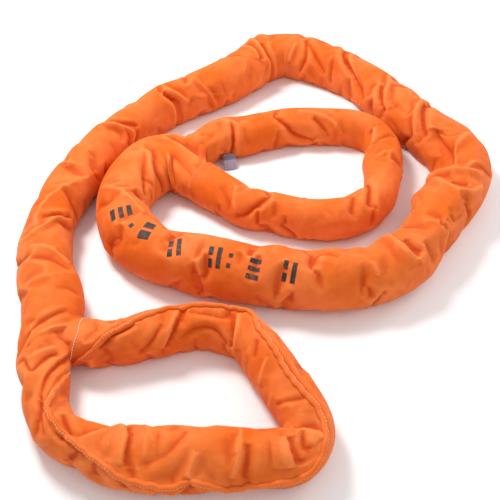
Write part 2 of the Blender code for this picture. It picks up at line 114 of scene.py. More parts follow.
# The inner eye's girth, from its lower strand's mouth round to its upper one
INNER_GIRTH = [
    (-0.06, 0.040, 0.040, 0.086), (-0.01, 0.046, 0.050, 0.102), (0.02, 0.056, 0.064, 0.116),
    (0.07, 0.058, 0.070, 0.120), (0.14, 0.056, 0.066, 0.118), (0.28, 0.046, 0.060, 0.116),
    (0.42, 0.058, 0.055, 0.116), (0.55, 0.050, 0.058, 0.116), (0.74, 0.053, 0.054, 0.116),
    (0.86, 0.064, 0.058, 0.116), (1.00, 0.037, 0.064, 0.116), (1.22, 0.054, 0.062, 0.116),
    (1.50, 0.062, 0.072, 0.116), (1.62, 0.052, 0.056, 0.110), (1.72, 0.040, 0.040, 0.088),
]

FOLD_GAIN = 1.35

# Folds flatten out above this height, and rise no further than the room past it
TOP_START = 0.156
TOP_ROOM = 0.009

# The inner eye's upper strand stays this far off the mouth's underside past here
UPPER_TUCK_START = 1.56
TUCK_CLEARANCE = 0.003

# Placed folds: kind, depth and width in millimetres, then distances along in metres and angles round
LONG_FOLDS = [
    # the inner mouth, where the two strands part
    ("ridge", 5, 10, (-0.05, 72, 0.0, 84, 0.07, 104)),
    ("valley", 6, 12, (-0.03, 40, 0.03, 62, 0.05, 40, 0.03, 4)),
    ("ridge", 6, 10, (0.05, 62, 0.085, 40, 0.06, -6)),
    # left band
    ("ridge", 5, 7, (3.98, 130, 3.94, 82, 3.89, 51, 3.86, 34)),
    ("valley", 6, 7, (3.905, 96, 3.88, 51, 3.857, 20)),
    ("ridge", 4, 10, (3.976, 105, 3.874, 104, 3.775, 68, 3.64, 27)),
    ("ridge", 5, 9, (4.02, 114, 4.04, 72, 4.083, 32)),
    ("valley", 3, 9, (4.06, 110, 4.08, 72, 4.11, 40)),
    ("ridge", 3, 12, (4.173, 134, 4.147, 117, 4.14, 76, 4.115, 33)),
    # outer neck
    ("valley", 4, 6, (4.325, 124, 4.283, 88, 4.233, 45)),
    ("ridge", 4, 5, (4.345, 106, 4.296, 62, 4.27, 30)),
    ("valley", 3, 5, (4.355, 116, 4.319, 80)),
    ("ridge", 4, 6, (4.39, 106, 4.352, 50)),
    ("valley", 4, 6, (4.425, 102, 4.37, 46)),
    ("ridge", 4, 7, (4.50, 92, 4.439, 70, 4.353, 22)),
    ("valley", 5, 8, (4.54, 108, 4.473, 77, 4.423, 55, 4.351, 10)),
    # outer eye, left and bottom
    ("valley", 6, 12, (4.509, 97, 4.543, 117, 4.578, 140)),
    ("valley", 4, 12, (4.66, 124, 4.64, 165)),
    ("valley", 4, 12, (4.69, 140, 4.70, 172)),
    ("valley", 4, 12, (4.75, 160, 4.76, 190)),
    ("valley", 4, 12, (4.88, 160, 4.90, 185)),
    ("valley", 7, 10, (4.631, 112, 4.581, 70)),
    ("step", 4, 10, (4.637, 117, 4.674, 78, 4.721, 46, 4.745, 70)),
    ("step", 5, 8, (4.735, 40, 4.748, 67, 4.753, 90, 4.755, 132)),
    ("valley", 4, 10, (4.782, 129, 4.845, 105, 4.887, 60)),
    ("ridge", 4, 9, (4.887, 149, 4.907, 104)),
    ("ridge", 5, 9, (4.981, 158, 5.002, 111, 5.001, 52)),
    ("valley", 5, 9, (5.012, 163, 5.018, 117, 5.02, 90)),
    # outer eye, right and top strand
    ("step", -9, 9, (5.548, 122, 5.522, 65, 5.50, 18)),
    ("valley", 5, 9, (5.558, 127, 5.57, 94, 5.612, 91, 5.656, 98)),
    ("valley", 5, 10, (5.684, 18, 5.634, 41, 5.586, 43, 5.537, 14)),
    ("valley", 5, 10, (5.448, 80, 5.415, 45)),
    ("ridge", 5, 9, (5.388, 72, 5.352, 16)),
    ("valley", 4, 6, (5.277, 22, 5.254, 62, 5.242, 95)),
    ("step", 5, 9, (5.143, 66, 5.166, 82, 5.172, 108, 5.17, 128)),
    ("valley", 6, 7, (5.154, 82, 5.133, 108, 5.138, 126)),
    ("step", 8, 8, (5.109, 74, 5.105, 111, 5.106, 142)),
    ("ridge", 4, 9, (5.086, 85, 5.093, 131)),
    ("ridge", 3, 10, (4.994, 78, 4.992, 114)),
    ("valley", 6, 9, (5.88, 28, 5.843, 72, 5.79, 92)),
    ("step", 7, 8, (5.674, 110, 5.701, 51, 5.73, 5)),
    ("valley", 4, 8, (5.724, 72, 5.761, 34, 5.80, 5)),
    ("ridge", 7, 14, (5.90, 12, 5.90, -24)),
    # left bend and inner band
    ("ridge", 6, 10, (0.296, 140, 0.363, 88, 0.465, 62)),
    ("valley", 6, 10, (0.335, 62, 0.362, 30)),
    ("valley", 7, 10, (0.145, 84, 0.235, 55, 0.335, 24)),
    ("ridge", 6, 8, (0.13, 80, 0.22, 47, 0.28, 0)),
    ("valley", 7, 10, (0.11, 80, 0.196, 36, 0.202, -20)),
    ("ridge", 4, 10, (0.691, 120, 0.712, 158)),
    ("valley", 4, 14, (0.49, 136, 0.455, 178)),
    ("valley", 5, 10, (0.605, 100, 0.605, 70)),
    ("valley", 5, 10, (0.829, 96, 0.829, 62)),
    ("valley", 5, 10, (0.995, 96, 0.995, 62)),
    ("valley", 6, 10, (1.075, 86, 1.017, 71, 0.988, 110)),
    # top
    ("ridge", 9, 9, (2.73, 150, 2.754, 79, 2.773, 42, 2.742, 5)),
    ("valley", 13, 10, (2.734, 88, 2.748, 41, 2.735, -30)),
    ("step", 7, 11, (2.778, 120, 2.786, 76, 2.80, 46)),
    ("ridge", 6, 9, (3.19, 84, 3.15, 46, 3.12, 20)),
    ("valley", 9, 10, (3.20, 72, 3.172, 30, 3.16, -8)),
    ("ridge", 6, 8, (3.47, 108, 3.422, 59, 3.385, 30)),
    ("valley", 4, 8, (3.445, 108, 3.398, 59, 3.362, 34)),
    ("ridge", 2, 4, (3.115, 33, 2.941, 4)),
    ("ridge", 5, 9, (2.585, 72, 2.602, 12)),
    ("valley", 5, 9, (2.56, 96, 2.53, 36, 2.545, -10)),
    # right
    ("valley", 6, 10, (2.56, 94, 2.498, 49, 2.43, 8)),
    ("valley", 12, 11, (2.41, 112, 2.36, 63, 2.277, 29, 2.21, 8)),
    ("ridge", 8, 8, (2.385, 114, 2.334, 61, 2.25, 20)),
    ("ridge", 8, 9, (2.21, 116, 2.141, 69, 2.10, 24)),
    ("valley", 9, 9, (2.18, 66, 2.09, 20)),
    ("ridge", 8, 9, (2.03, 116, 1.987, 72, 1.93, 20)),
    ("valley", 9, 11, (2.005, 112, 1.941, 63, 1.895, 32)),
    ("valley", 19, 36, (1.89, 74, 1.84, 46, 1.775, 50, 1.69, 56)),
    ("ridge", 7, 8, (1.84, 124, 1.799, 100, 1.744, 70, 1.664, 62)),
    ("ridge", 11, 9, (1.655, 10, 1.657, 70, 1.662, 136)),
    ("ridge", 4, 7, (1.665, 86, 1.707, 113)),
    ("ridge", 8, 10, (1.63, 38, 1.554, 83, 1.578, 117, 1.64, 146)),
    ("valley", 6, 14, (1.60, 70, 1.61, 110)),
    ("valley", 3, 6, (1.45, 112, 1.45, 138)),
    ("valley", 3, 6, (1.43, 112, 1.43, 138)),
    ("valley", 3, 6, (1.41, 116, 1.41, 140)),
    ("ridge", 4, 11, (1.375, 70, 1.405, 106)),
    ("ridge", 9, 10, (1.252, 50, 1.243, 104, 1.266, 140)),
    ("ridge", 5, 8, (1.263, 137, 1.291, 131, 1.311, 114)),
    ("valley", 9, 14, (1.283, 78, 1.278, 108, 1.285, 130)),
    ("ridge", 4, 12, (1.148, 102, 1.158, 134)),
]
INNER_FOLDS = [
    ("valley", 6, 9, (1.487, 90, 1.492, 36, 1.511, -20)),
    ("valley", 7, 11, (1.343, 90, 1.28, 15, 1.20, -18)),
    ("ridge", 6, 10, (1.26, 92, 1.164, 63, 1.10, 10)),
    ("valley", 5, 9, (1.208, 66, 1.148, 0)),
    ("valley", 4, 9, (0.234, 176, 0.277, 148, 0.325, 84)),
    ("ridge", 4, 10, (0.211, 88, 0.246, 162)),
    ("step", -8, 10, (0.985, 64, 0.90, 40)),
    ("ridge", 5, 9, (0.81, 60, 0.852, 108)),
    ("valley", 9, 10, (0.69, 30, 0.633, 89, 0.60, 128)),
    ("valley", 5, 9, (0.577, 75, 0.545, 132)),
]

# Soft swells and hollows: distance, angle, reach along in millimetres and round in degrees,
# height in millimetres
LONG_SWELLS = [
    (-0.075, 92, 62, 22, -34), (0.02, 100, 50, 18, -9), (2.705, 130, 18, 34, 13),
    (2.80, 126, 26, 34, -6), (2.74, 0, 16, 40, -20), (2.86, 124, 26, 30, -5),
    (2.60, 120, 14, 30, 5), (2.44, 124, 16, 30, 5), (3.165, 2, 14, 34, -13), (3.08, 10, 30, 30, 6),
    (1.50, 62, 70, 40, 9), (1.36, 60, 26, 34, -7), (1.245, 62, 22, 34, 7), (1.86, 66, 34, 30, -9),
    (1.655, 18, 16, 30, 8), (1.79, 20, 40, 30, -7), (2.10, 136, 22, 30, 5), (2.02, 140, 16, 30, 5),
    (0.73, 72, 60, 34, 7), (0.90, 72, 45, 34, 8), (1.06, 72, 45, 34, 7), (0.605, 80, 26, 30, -5),
    (0.829, 78, 24, 30, -5), (0.995, 78, 24, 30, -5), (3.905, 34, 20, 18, -8),
    (2.742, 42, 16, 20, -7), (0.36, 43, 22, 22, -7), (5.166, 92, 26, 22, -9),
    (1.60, 92, 40, 26, -7), (4.385, 136, 40, 40, 3), (4.336, 120, 22, 34, -2),
    (5.10, 40, 36, 34, 6), (4.79, 74, 60, 30, 5), (4.93, 74, 60, 30, 5),
]

# The raised seam round the outer eye: distance along and angle round
SEAM = [
    (5.95, -14), (5.922, 8), (5.896, 29), (5.867, 63), (5.826, 90), (5.766, 102), (5.706, 111),
    (5.605, 112), (5.529, 134), (5.468, 100), (5.405, 92), (5.351, 86), (5.297, 84), (5.249, 92),
    (5.215, 105), (5.186, 120), (5.162, 134), (5.13, 155), (5.083, 167), (5.042, 174), (4.984, 180),
    (4.942, 169), (4.90, 155), (4.849, 163), (4.796, 156), (4.757, 151), (4.713, 135), (4.657, 120),
    (4.613, 109), (4.568, 96), (4.537, 86), (4.515, 70), (4.476, 44), (4.43, 20),
]
NECK_STITCH_STRAND = [(5.942, 134), (5.939, 103), (5.934, 71), (5.940, 20), (5.950, -20)]
NECK_STITCH_SIDE = [(4.405, 6), (4.423, 18), (4.476, 40), (4.525, 67)]


# ---------------------------------------------------------------- paths and tubes


def smooth_path(points, step=PATH_STEP):
    """Points at about one step along a Catmull-Rom curve through the given points."""
    route = np.array(points, float)
    route = np.vstack([2 * route[0] - route[1], route, 2 * route[-1] - route[-2]])
    path = []
    for a, b, c, d in zip(route, route[1:], route[2:], route[3:]):
        count = max(2, round(np.linalg.norm(c - b) / step))
        for t in np.arange(count) / count:
            path.append(0.5 * (2 * b + (c - a) * t + (2 * a - 5 * b + 4 * c - d) * t**2
                               + (3 * b - a - 3 * c + d) * t**3))
    path.append(route[-2])
    return np.array(path)


class Route:
    """A level path with its length, its heading and the girth of what runs along it."""

    def __init__(self, points, girth, lead=()):
        self.path = smooth_path(list(lead) + list(points)) + CENTRE
        steps = np.linalg.norm(np.diff(self.path, axis=0), axis=1)
        self.total = np.concatenate([[0.0], np.cumsum(steps)])
        if lead:
            start = np.argmin(np.linalg.norm(self.path - CENTRE - points[0], axis=1))
            self.total -= self.total[start]
        even = np.arange(self.total[0], self.total[-1], PATH_STEP)
        spots = self.at(even)
        heading = np.unwrap(np.arctan2(*np.gradient(spots, axis=0).T[::-1]))
        reach = int(3 * TURN_SMOOTHING / PATH_STEP)
        weights = np.exp(-0.5 * (np.arange(-reach, reach + 1) * PATH_STEP / TURN_SMOOTHING) ** 2)
        padded = np.pad(heading, reach, mode="edge")
        self.even = even
        self.heading = np.convolve(padded, weights / weights.sum(), mode="valid")
        self.girth = np.array(girth, float)

    def at(self, s):
        return np.stack([np.interp(s, self.total, self.path[:, k]) for k in (0, 1)], -1)

    def left(self, s):
        turn = np.interp(s, self.even, self.heading)
        return np.stack([-np.sin(turn), np.cos(turn)], -1)

    def sizes(self, s):
        """Half width inside, half width outside and height."""
        return [np.interp(s, self.girth[:, 0], self.girth[:, k]) for k in (1, 2, 3)]


class Tube:
    """A sleeve's surface as a grid: rings along the route, points round each ring.

    around runs from 0 at the side inside the spiral or eye, over 90 degrees at the top, to 180 outside.
    """

    def __init__(self, route, ring_step, sides, side=0.0, scale=1.0, rise_scale=1.0, lift=0.0):
        self.route = route
        start, end = route.total[0], route.total[-1]
        count = 2 * max(1, round((end - start) / ring_step / 2))
        self.along = np.linspace(start, end, count + 1)
        self.around = np.linspace(-90.0, 270.0, sides + 1)[:-1]
        spots = route.at(self.along)
        left = route.left(self.along)
        inside, outside, height = route.sizes(self.along)
        middle = np.zeros(len(self.along))
        if side:
            middle = (inside - outside) / 2 + side * (inside + outside) / 4
            inside = outside = (inside + outside) / 4 * scale
        else:
            inside, outside = inside * scale, outside * scale
        angle = np.radians(self.around)
        level = np.cos(angle)
        across = np.where(level[None, :] > 0, inside[:, None], outside[:, None]) * level
        rise = np.maximum(np.sin(angle), -FLAT) + FLAT
        self.points = np.empty((len(self.along), sides, 3))
        reach = across + middle[:, None]
        self.points[..., :2] = spots[:, None, :] + left[:, None, :] * reach[..., None]
        self.points[..., 2] = lift + (height * rise_scale)[:, None] / (FLAT + CROWN) * rise[None, :]
        self.radius = float(np.mean(inside + outside) / 2)
        self.painted_fold_shading = np.zeros(self.points.shape[:2])

    def normals(self):
        """Outward unit normals of the grid."""
        ahead = np.gradient(self.points, axis=0)
        wide = np.roll(self.points, -1, axis=1) - np.roll(self.points, 1, axis=1)
        normal = np.cross(ahead, wide)
        return -normal / np.maximum(np.linalg.norm(normal, axis=-1, keepdims=True), 1e-9)

    def spot(self, s, degrees, lift=0.0):
        """Points and normals of the finished surface at distances and angles, lifted by a height."""
        s, degrees = np.broadcast_arrays(np.asarray(s, float), np.asarray(degrees, float))
        i = np.interp(s, self.along, np.arange(len(self.along)))
        j = ((degrees + 90.0) % 360.0) / 360.0 * len(self.around)
        normals = self.normals()
        i0 = np.clip(np.floor(i).astype(int), 0, len(self.along) - 2)
        j0 = np.floor(j).astype(int) % len(self.around)
        j1 = (j0 + 1) % len(self.around)
        u, v = (i - i0)[..., None], (j - np.floor(j))[..., None]

        def mix(grid):
            near = grid[i0, j0] * (1 - v) + grid[i0, j1] * v
            far = grid[i0 + 1, j0] * (1 - v) + grid[i0 + 1, j1] * v
            return near * (1 - u) + far * u

        normal = mix(normals)
        return mix(self.points) + normal * np.asarray(lift, float)[..., None], normal


def grid_faces(n, m):
    """Quads over n rings of m points, closed round each ring."""
    i, j = np.meshgrid(np.arange(n - 1), np.arange(m), indexing="ij")
    k = (j + 1) % m
    return np.stack([i * m + j, i * m + k, (i + 1) * m + k, (i + 1) * m + j], -1).reshape(-1, 4)


# ---------------------------------------------------------------- folds


def profile(kind, across, width):
    """Height of a fold's cross-section, with 1 as its full height."""
    x = across / width
    if kind == "valley":
        return -np.exp(-np.abs(x) ** 1.4) + 0.30 * np.exp(-((np.abs(x) - 2.4) / 1.5) ** 2)
    if kind == "ridge":
        return 1.1 * np.exp(-np.abs(x) ** 1.2) - 0.12 * np.exp(-((np.abs(x) - 2.6) / 1.4) ** 2)
    return np.tanh(x * 2.0) * np.exp(-(np.abs(x) / 3.4) ** 1.5)


def add_fold(tube, heights, kind, depth, width, line, gain=1.0):
    """Adds one fold along a line of distances and angles to the tube's grid of heights."""
    line = np.array(line, float).reshape(-1, 2)
    metres = math.radians(tube.radius)
    path = smooth_path(np.stack([line[:, 0], line[:, 1] * metres], -1), step=0.005)
    width *= 0.001
    reach = 4.5 * width
    rows = np.where((tube.along > path[:, 0].min() - reach)
                    & (tube.along < path[:, 0].max() + reach))[0]
    if not len(rows):
        return
    turn = 2 * math.pi * tube.radius
    s = np.repeat(tube.along[rows], len(tube.around))
    v = np.tile(np.where(tube.around > 225, tube.around - 360, tube.around) * metres, len(rows))
    offset = np.stack([s, v], -1)[:, None, :] - path[None]
    offset[..., 1] = (offset[..., 1] + turn / 2) % turn - turn / 2
    distance = np.linalg.norm(offset, axis=-1)
    nearest = np.argmin(distance, axis=1)
    pick = np.arange(len(nearest))
    ahead = np.gradient(path, axis=0)
    ahead /= np.linalg.norm(ahead, axis=1, keepdims=True)
    ahead = ahead[nearest]
    away = offset[pick, nearest]
    sign = np.sign(ahead[:, 0] * away[:, 1] - ahead[:, 1] * away[:, 0])
    t = nearest / (len(path) - 1)
    taper = np.sqrt(np.clip(4 * t * (1 - t), 0, 1)) ** 0.8
    near = distance[pick, nearest]
    height = profile(kind, near * np.where(sign == 0, 1, sign), width) * taper
    heights[rows] += (0.001 * gain * depth * height).reshape(len(rows), -1)


def add_swells(tube, heights, swells):
    """Adds broad round swells and dents."""
    for s, angle, along, around, height in swells:
        round_it = (tube.around - angle + 180) % 360 - 180
        fall = (np.exp(-((tube.along - s) / (0.001 * along)) ** 2)[:, None]
                * np.exp(-(round_it / around) ** 2)[None, :])
        heights += 0.001 * height * fall


def add_wrinkles(tube, heights, count, seed, quiet=()):
    """Fine folds at random places, mostly across the sleeve, and broad unevenness."""
    rng = np.random.default_rng(seed)
    start, end = tube.along[0], tube.along[-1]
    for _ in range(count):
        s, angle = rng.uniform(start, end), rng.uniform(-40, 220)
        slant, length = rng.normal(0.0, 0.9), rng.uniform(0.05, 0.13)
        depth, width = rng.uniform(1.0, 3.6), rng.uniform(5.0, 13.0)
        kind = ("ridge", "valley")[int(rng.integers(2))]
        bow = rng.uniform(-8, 8)
        if any(a < s < b for a, b in quiet):
            depth *= 0.35
        run = np.array((math.sin(slant), math.cos(slant))) * length / 2
        turn = math.degrees(run[1] / tube.radius)
        add_fold(tube, heights, kind, depth, width,
                 (s - run[0], angle - turn, s + 0.001 * bow, angle, s + run[0], angle + turn))
    for _ in range(int((end - start) * 14)):
        add_swells(tube, heights, [(rng.uniform(start, end), rng.uniform(-30, 210),
                                    rng.uniform(26, 70), rng.uniform(20, 46),
                                    rng.uniform(-4.5, 4.5))])


def halved(grid, wrap):
    """The grid with a new row between each two, on a smooth curve through its neighbours."""
    if wrap:
        ring = np.concatenate([grid[-1:], grid, grid[:2]])
    else:
        ring = np.concatenate([2 * grid[:1] - grid[1:2], grid, 2 * grid[-1:] - grid[-2:-1]])
    between = (9 * (ring[1:-2] + ring[2:-1]) - ring[:-3] - ring[3:]) / 16
    whole = np.empty((len(grid) + len(between), *grid.shape[1:]))
    whole[0::2] = grid
    whole[1::2] = between
    return whole


SIM_FRAMES = 14
SIM_SLACK = 0.03  # extra cloth, as a share of its length
SIM_LIMIT = 0.012  # farthest that the simulation may move a point
SIM_HOLD = 0.15  # how firmly the free cloth is pinned near its start
SIM_FAST_ANGLE = 30  # degrees either side of the underside that don't move
SIM_FAST_RINGS = 3  # rings at each end that don't move


def slacken(tube):
    """How far the cloth moves when the sculpted sleeve is simulated with a little too much cloth."""
    coarse = tube.points[::2, ::2]
    n, m = coarse.shape[:2]
    faces = grid_faces(n, m)
    mesh = bpy.data.meshes.new("slack")
    mesh.from_pydata(coarse.reshape(-1, 3).tolist(), [], faces.tolist())
    piece = link(bpy.data.objects.new("slack", mesh))
    hold = piece.vertex_groups.new(name="hold")
    down = (tube.around[::2] + 90) % 360
    fast = np.zeros((n, m), bool)
    fast[:, np.minimum(down, 360 - down) < SIM_FAST_ANGLE] = True
    fast[:SIM_FAST_RINGS] = fast[-SIM_FAST_RINGS:] = True
    hold.add(np.where(fast.reshape(-1))[0].tolist(), 1.0, "REPLACE")
    hold.add(np.where(~fast.reshape(-1))[0].tolist(), SIM_HOLD, "REPLACE")
    modifier = piece.modifiers.new("cloth", "CLOTH")
    cloth = modifier.settings
    cloth.quality = 3
    cloth.mass = 0.2
    cloth.tension_stiffness = cloth.compression_stiffness = 12
    cloth.tension_damping = cloth.compression_damping = cloth.shear_damping = 8
    cloth.shear_stiffness = 4
    cloth.bending_stiffness = 6.0
    cloth.shrink_min = cloth.shrink_max = -SIM_SLACK
    cloth.vertex_group_mass = "hold"
    cloth.pin_stiffness = 1.2
    cloth.effector_weights.gravity = 0
    cloth.use_pressure = True
    cloth.uniform_pressure_force = 1.2
    modifier.collision_settings.use_collision = False
    modifier.point_cache.frame_start = 1
    modifier.point_cache.frame_end = SIM_FRAMES + 1
    for step in range(1, SIM_FRAMES + 1):
        bpy.context.scene.frame_set(step)
    settled = piece.evaluated_get(bpy.context.evaluated_depsgraph_get()).data
    spots = np.empty(n * m * 3)
    settled.vertices.foreach_get("co", spots)
    bpy.data.objects.remove(piece)
    bpy.data.meshes.remove(mesh)
    bpy.context.scene.frame_set(1)
    moved = np.clip(spots.reshape(n, m, 3) - coarse, -SIM_LIMIT, SIM_LIMIT)
    moved = halved(moved, False)
    return halved(moved.transpose(1, 0, 2), True)[:2 * m].transpose(1, 0, 2)


def link(piece):
    bpy.context.scene.collection.objects.link(piece)
    return piece


def sculpt(tube, folds, swells, count, seed, quiet=()):
    """Moves the tube's grid along its normals by all its folds, and notes how far each point lies in a
    hollow or on a ridge, for painted shade and painted highlight.
    """
    heights = np.zeros(tube.points.shape[:2])
    for kind, depth, width, line in folds:
        add_fold(tube, heights, kind, depth, width, line, FOLD_GAIN)
    add_swells(tube, heights, swells)
    add_wrinkles(tube, heights, count, seed, quiet)
    down = (tube.around + 90) % 360
    under = np.clip(np.minimum(down, 360 - down) / 40.0, 0, 1)
    heights *= (under**2 * (3 - 2 * under))[None, :]
    start, outward = tube.points.copy(), tube.normals()
    tube.points += outward * heights[..., None]
    tube.points += slacken(tube)
    rise = np.maximum(tube.points[..., 2], 0.0002)
    over = np.maximum(rise - TOP_START, 0.0)
    tube.points[..., 2] = np.minimum(rise, TOP_START) + TOP_ROOM * np.tanh(over / TOP_ROOM)
    heights = np.einsum("ijk,ijk->ij", tube.points - start, outward)
    soft = heights.copy()
    for _ in range(10):
        soft = (soft + np.roll(soft, 1, 1) + np.roll(soft, -1, 1)
                + np.vstack([soft[:1], soft[:-1]]) + np.vstack([soft[1:], soft[-1:]])) / 5
    # Positive in hollows, where the cloth gets painted shade; negative on ridges, where it gets a
    # painted highlight
    tube.painted_fold_shading = np.clip((soft - heights) / 0.003, -1, 1)


# ---------------------------------------------------------------- meshes


def tube_mesh(name, tube, material, first=0, last=None, hem=False, web=False):
    """A mesh of the tube's rings from first to last, with a UV map in metres.

    A hem turns the first edge in; a web closes the first ring between the strands.
    """
    last = len(tube.along) - 1 if last is None else last
    rings = tube.points[first:last + 1]
    normals = tube.normals()[first:last + 1]
    painted_fold_shading = tube.painted_fold_shading[first:last + 1]
    along = tube.along[first:last + 1]
    if hem:
        lips = [rings[:1] - normals[:1] * depth for depth in (0.012, 0.005, 0.0015)]
        middle = lips[0].mean(axis=1, keepdims=True)
        ends = [lips[0] * (1 - t) + middle * t for t in (0.97, 0.5)]
        rings = np.concatenate([*ends, *lips, rings])
        normals = np.concatenate([normals[:1]] * 5 + [normals])
        painted_fold_shading = np.concatenate([painted_fold_shading[:1]] * 5 + [painted_fold_shading])
        along = np.concatenate([along[0] - np.array((0.07, 0.04, 0.012, 0.005, 0.0015)), along])
    if web:
        inward = np.array((*(tube.route.at(along[0] + 0.02) - tube.route.at(along[0])), 0.0)) / 0.02
        middle = rings[:1].mean(axis=1, keepdims=True)
        shares = np.array((0.92, 0.6, 0.3, 0.10, 0.03))
        caps = [rings[:1] * (1 - t) + middle * t + inward * (0.006 + 0.02 * t) for t in shares]
        rings = np.concatenate([*caps, rings])
        facing = np.broadcast_to(-inward, normals[:1].shape)
        normals = np.concatenate([facing] * 4 + [facing + normals[:1], normals])
        # The web's caps between the strands get the full painted shade
        painted_fold_shading = np.concatenate([np.ones_like(painted_fold_shading[:1])] * 5 + [painted_fold_shading])
        along = np.concatenate([along[0] - 0.05 * shares, along])
    n, m = rings.shape[:2]
    i, j = np.meshgrid(np.arange(n - 1), np.arange(m), indexing="ij")
    faces = grid_faces(n, m)
    mesh = bpy.data.meshes.new(name)
    mesh.from_pydata(rings.reshape(-1, 3).tolist(), [], faces.tolist())
    girth = math.radians(tube.around[1] - tube.around[0]) * tube.radius
    u = np.stack([along[i], along[i], along[i + 1], along[i + 1]], -1).reshape(-1, 4)
    v = np.stack([j, j + 1, j + 1, j], -1).reshape(-1, 4) * girth
    layer = mesh.uv_layers.new(name="weave")
    layer.data.foreach_set("uv", np.stack([u, v], -1).reshape(-1).astype(np.float32))
    # The painted shade and painted highlight amounts, read by the material
    shade = mesh.attributes.new("painted_fold_shading", "FLOAT", "POINT")
    shade.data.foreach_set("value", painted_fold_shading.reshape(-1).astype(np.float32))
    mesh.shade_smooth()
    mesh.normals_split_custom_set_from_vertices(normals.reshape(-1, 3).tolist())
    mesh.materials.append(material)
    return link(bpy.data.objects.new(name, mesh))


def strip_mesh(name, points, sides, ups, section, material):
    """A closed strip: one cross-section swept along points, with its own side and up at each."""
    section = np.array(section, float) * 0.001
    rings = (points[:, None, :] + sides[:, None, :] * section[None, :, :1]
             + ups[:, None, :] * section[None, :, 1:])
    n, m = rings.shape[:2]
    faces = grid_faces(n, m)
    caps = [list(range(m))[::-1], list(range((n - 1) * m, n * m))]
    mesh = bpy.data.meshes.new(name)
    mesh.from_pydata(rings.reshape(-1, 3).tolist(), [], faces.tolist() + caps)
    body = bmesh.new()
    body.from_mesh(mesh)
    bmesh.ops.recalc_face_normals(body, faces=body.faces)
    body.to_mesh(mesh)
    body.free()
    mesh.shade_smooth()
    mesh.materials.append(material)
    return link(bpy.data.objects.new(name, mesh))


def line_on(tube, line, step=0.003, lift=0.0, wave=0.0):
    """Evenly spaced points along a line of distances and angles, with each one's side and normal."""
    line = np.array(line, float)
    metres = math.radians(tube.radius)
    path = smooth_path(np.stack([line[:, 0], line[:, 1] * metres], -1), step=step)
    run = np.arange(len(path)) * step
    angle = path[:, 1] / metres + wave * np.sin(run * 210) + 0.6 * wave * np.sin(run * 87 + 1.0)
    points, normals = tube.spot(path[:, 0], angle, np.full(len(path), lift))
    total = np.concatenate([[0.0], np.cumsum(np.linalg.norm(np.diff(points, axis=0), axis=1))])
    even = np.arange(0.0, total[-1], step)
    points = np.stack([np.interp(even, total, points[:, k]) for k in range(3)], -1)
    normals = np.stack([np.interp(even, total, normals[:, k]) for k in range(3)], -1)
    ahead = np.gradient(points, axis=0)
    sides = np.cross(normals, ahead)
    sides /= np.linalg.norm(sides, axis=1, keepdims=True)
    ups = np.cross(ahead, sides)
    ups /= np.linalg.norm(ups, axis=1, keepdims=True)
    return points, sides, ups


def smooth_piece(name, verts, faces, material):
    """An object with a smooth mesh of one material."""
    mesh = bpy.data.meshes.new(name)
    mesh.from_pydata(verts, [], faces)
    mesh.shade_smooth()
    mesh.materials.append(material)
    return link(bpy.data.objects.new(name, mesh))


def stitch_mesh(name, rows, material, pitch=0.0075, length=0.0055, radius=0.0009):
    """Rows of stitches: short bowed threads, one after another along each line of points."""
    verts, faces = [], []
    ring = [(math.cos(a), math.sin(a)) for a in np.arange(6) * math.pi / 3]
    for points, sides, ups in rows:
        total = np.concatenate([[0.0], np.cumsum(np.linalg.norm(np.diff(points, axis=0), axis=1))])
        for start in np.arange(pitch / 2, total[-1] - length, pitch):
            base = len(verts)
            for t, rise, fat in ((0, -0.7, 0.5), (0.2, 0.3, 0.95), (0.5, 0.7, 1.0),
                                 (0.8, 0.3, 0.95), (1.0, -0.7, 0.5)):
                at = start + t * length
                spot, side, up = [np.array([np.interp(at, total, grid[:, k]) for k in range(3)])
                                  for grid in (points, sides, ups)]
                for x, y in ring:
                    verts.append(spot + side * x * radius * fat
                                 + up * (rise + y * fat) * radius)
            for r in range(4):
                for k in range(6):
                    a, b = base + r * 6 + k, base + r * 6 + (k + 1) % 6
                    faces.append((a, a + 6, b + 6, b))
            faces.append(tuple(base + k for k in range(6)))
            faces.append(tuple(base + 24 + k for k in reversed(range(6))))
    return smooth_piece(name, [v.tolist() for v in verts], faces, material)


# ---------------------------------------------------------------- materials


class Nodes:
    """A Principled material and short ways to add and link its nodes."""

    def __init__(self, name, colour, roughness, **shader_values):
        self.material = bpy.data.materials.new(name)
        self.material.use_nodes = True
        self.tree = self.material.node_tree
        self.shader = self.tree.nodes["Principled BSDF"]
        self.set(self.shader, "Base Color", (*colour, 1.0))
        self.set(self.shader, "Roughness", roughness)
        for key, value in shader_values.items():
            self.set(self.shader, key.replace("_", " "), value)

    def set(self, node, key, value):
        if hasattr(value, "is_output"):
            self.tree.links.new(value, node.inputs[key])
        else:
            node.inputs[key].default_value = value

    def add(self, kind, output=0, settings=(), **values):
        node = self.tree.nodes.new(kind)
        for key, value in dict(settings).items():
            setattr(node, key, value)
        for key, value in values.items():
            self.set(node, int(key[1:]) if key[0] == "i" and key[1:].isdigit()
                     else key.replace("_", " "), value)
        return node.outputs[output]

    def math(self, operation, a, b=0.0):
        return self.add("ShaderNodeMath", settings={"operation": operation}, i0=a, i1=b)

    def noise(self, vector, scale, detail=2.0):
        return self.add("ShaderNodeTexNoise", Vector=vector, Scale=scale, Detail=detail)

    def span(self, value, low, high, to_low, to_high):
        return self.add("ShaderNodeMapRange", i0=value, i1=low, i2=high, i3=to_low, i4=to_high)

    def mix(self, factor, a, b):
        node = self.tree.nodes.new("ShaderNodeMix")
        node.data_type = "RGBA"
        for k, value in ((0, factor), (6, a), (7, b)):
            if hasattr(value, "is_output"):
                self.tree.links.new(value, node.inputs[k])
            elif isinstance(value, tuple):
                node.inputs[k].default_value = (*value, 1.0)
            else:
                node.inputs[k].default_value = value
        return node.outputs[2]

    def bump(self, height, strength, distance):
        bump = self.add("ShaderNodeBump", Height=height, Strength=strength, Distance=distance)
        self.set(self.shader, "Normal", bump)


WEAVE_PITCH = 0.0016


